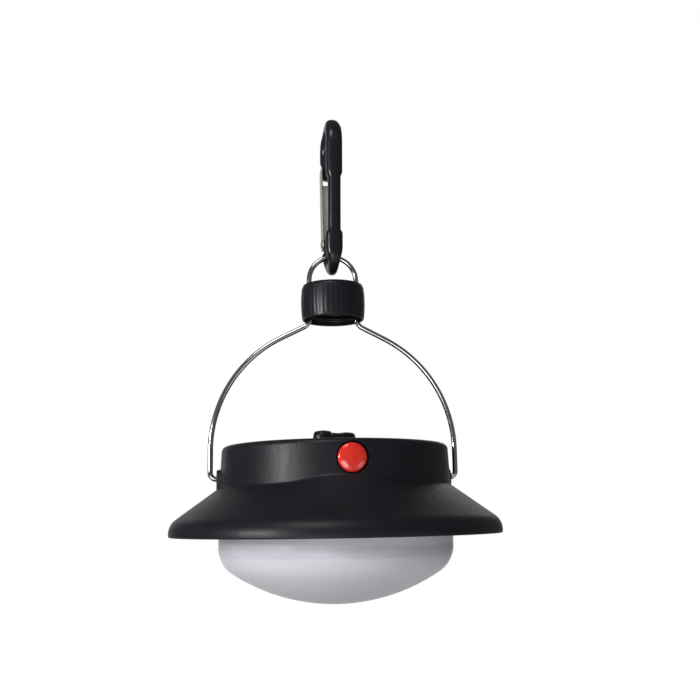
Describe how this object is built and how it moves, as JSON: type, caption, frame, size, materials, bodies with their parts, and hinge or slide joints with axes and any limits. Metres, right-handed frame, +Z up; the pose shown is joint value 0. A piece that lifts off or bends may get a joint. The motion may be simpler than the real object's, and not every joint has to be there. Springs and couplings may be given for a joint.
{
  "type": "camping lantern",
  "caption": "Hanging battery camping lantern with a flared black shade, frosted lens, red push button, wire bail and snap hook.",
  "frame": {"origin": "lowest point of the lens, on the lamp's axis", "axes": "+Z up through the hook, -Y the side with the push button, X along the bail's pivot"},
  "size_m": [0.154, 0.154, 0.2351],
  "materials": {
    "satin_black_plastic": "moulded black plastic with a fine satin grain",
    "gloss_black_plastic": "glossy moulded black plastic",
    "frosted_lens": "frosted translucent white plastic",
    "seal_rubber": "soft black rubber",
    "white_plastic": "white moulded plastic",
    "white_board": "white solder mask on board",
    "green_board": "green solder mask on board",
    "led_resin": "water-clear epoxy over a pale yellow phosphor",
    "chip_black": "black moulded component body",
    "zinc_steel": "zinc-plated steel",
    "contact_steel": "nickel-plated spring steel",
    "tray_plastic": "plain black plastic",
    "red_button": "glossy red plastic",
    "stainless_wire": "polished stainless wire",
    "coated_alloy": "black coated die-cast alloy, semi-gloss",
    "gate_steel": "pressed steel, lightly brushed",
    "cell_sleeve": "printed sleeve over a metal can"
  },
  "bodies": {
    "hook": {"carabiner_body": "coated_alloy", "gate_rivet": "gate_steel"},
    "gate": {"gate": "gate_steel", "gate_spring": "contact_steel"},
    "bail": {"bail_wire": "stainless_wire", "ring_cap": "gloss_black_plastic"},
    "lamp": {"shade_housing": "satin_black_plastic", "lens": "frosted_lens", "lens_gasket": "seal_rubber", "reflector_ring": "white_plastic", "led_board": "white_board", "leds": "led_resin", "led_resistors": "chip_black", "board_screws": "zinc_steel", "battery_tray": "tray_plastic", "tray_screws": "zinc_steel", "battery_cell_1": "cell_sleeve", "battery_cell_2": "cell_sleeve", "battery_cell_3": "cell_sleeve", "battery_cell_4": "cell_sleeve", "contact_plates": "contact_steel", "contact_springs": "contact_steel", "switch_body": "chip_black", "switch_board": "green_board"},
    "button": {"power_button": "red_button", "switch_plunger": "white_plastic"},
    "cover": {"battery_cover": "satin_black_plastic", "cover_seal": "seal_rubber", "cover_grip": "gloss_black_plastic"}
  },
  "joints": [
    {"name": "gate_hinge", "type": "hinge", "parent": "hook", "child": "gate", "pos_m": [0, 0.00791, 0.17356], "axis": [1, 0, 0], "range_deg": [0, 22], "stiffness_Nm_per_rad": 0.05, "springref_deg": -20.05},
    {"name": "hook_swing", "type": "hinge", "parent": "hook", "child": "bail", "pos_m": [0, 0, 0.1645], "axis": [1, 0, 0], "range_deg": [-25, 25]},
    {"name": "bail_pivot", "type": "hinge", "parent": "bail", "child": "lamp", "pos_m": [0, 0, 0.0572], "axis": [1, 0, 0], "range_deg": [-90, 90]},
    {"name": "button_press", "type": "slide", "parent": "lamp", "child": "button", "axis": [0, 1, 0], "range_m": [0, 0.0015], "stiffness_N_per_m": 800, "springref_m": -0.001},
    {"name": "cover_turn", "type": "hinge", "parent": "lamp", "child": "cover", "pos_m": [0, 0, 0.07], "axis": [0, 0, 1], "range_deg": [0, 40]}
  ]
}
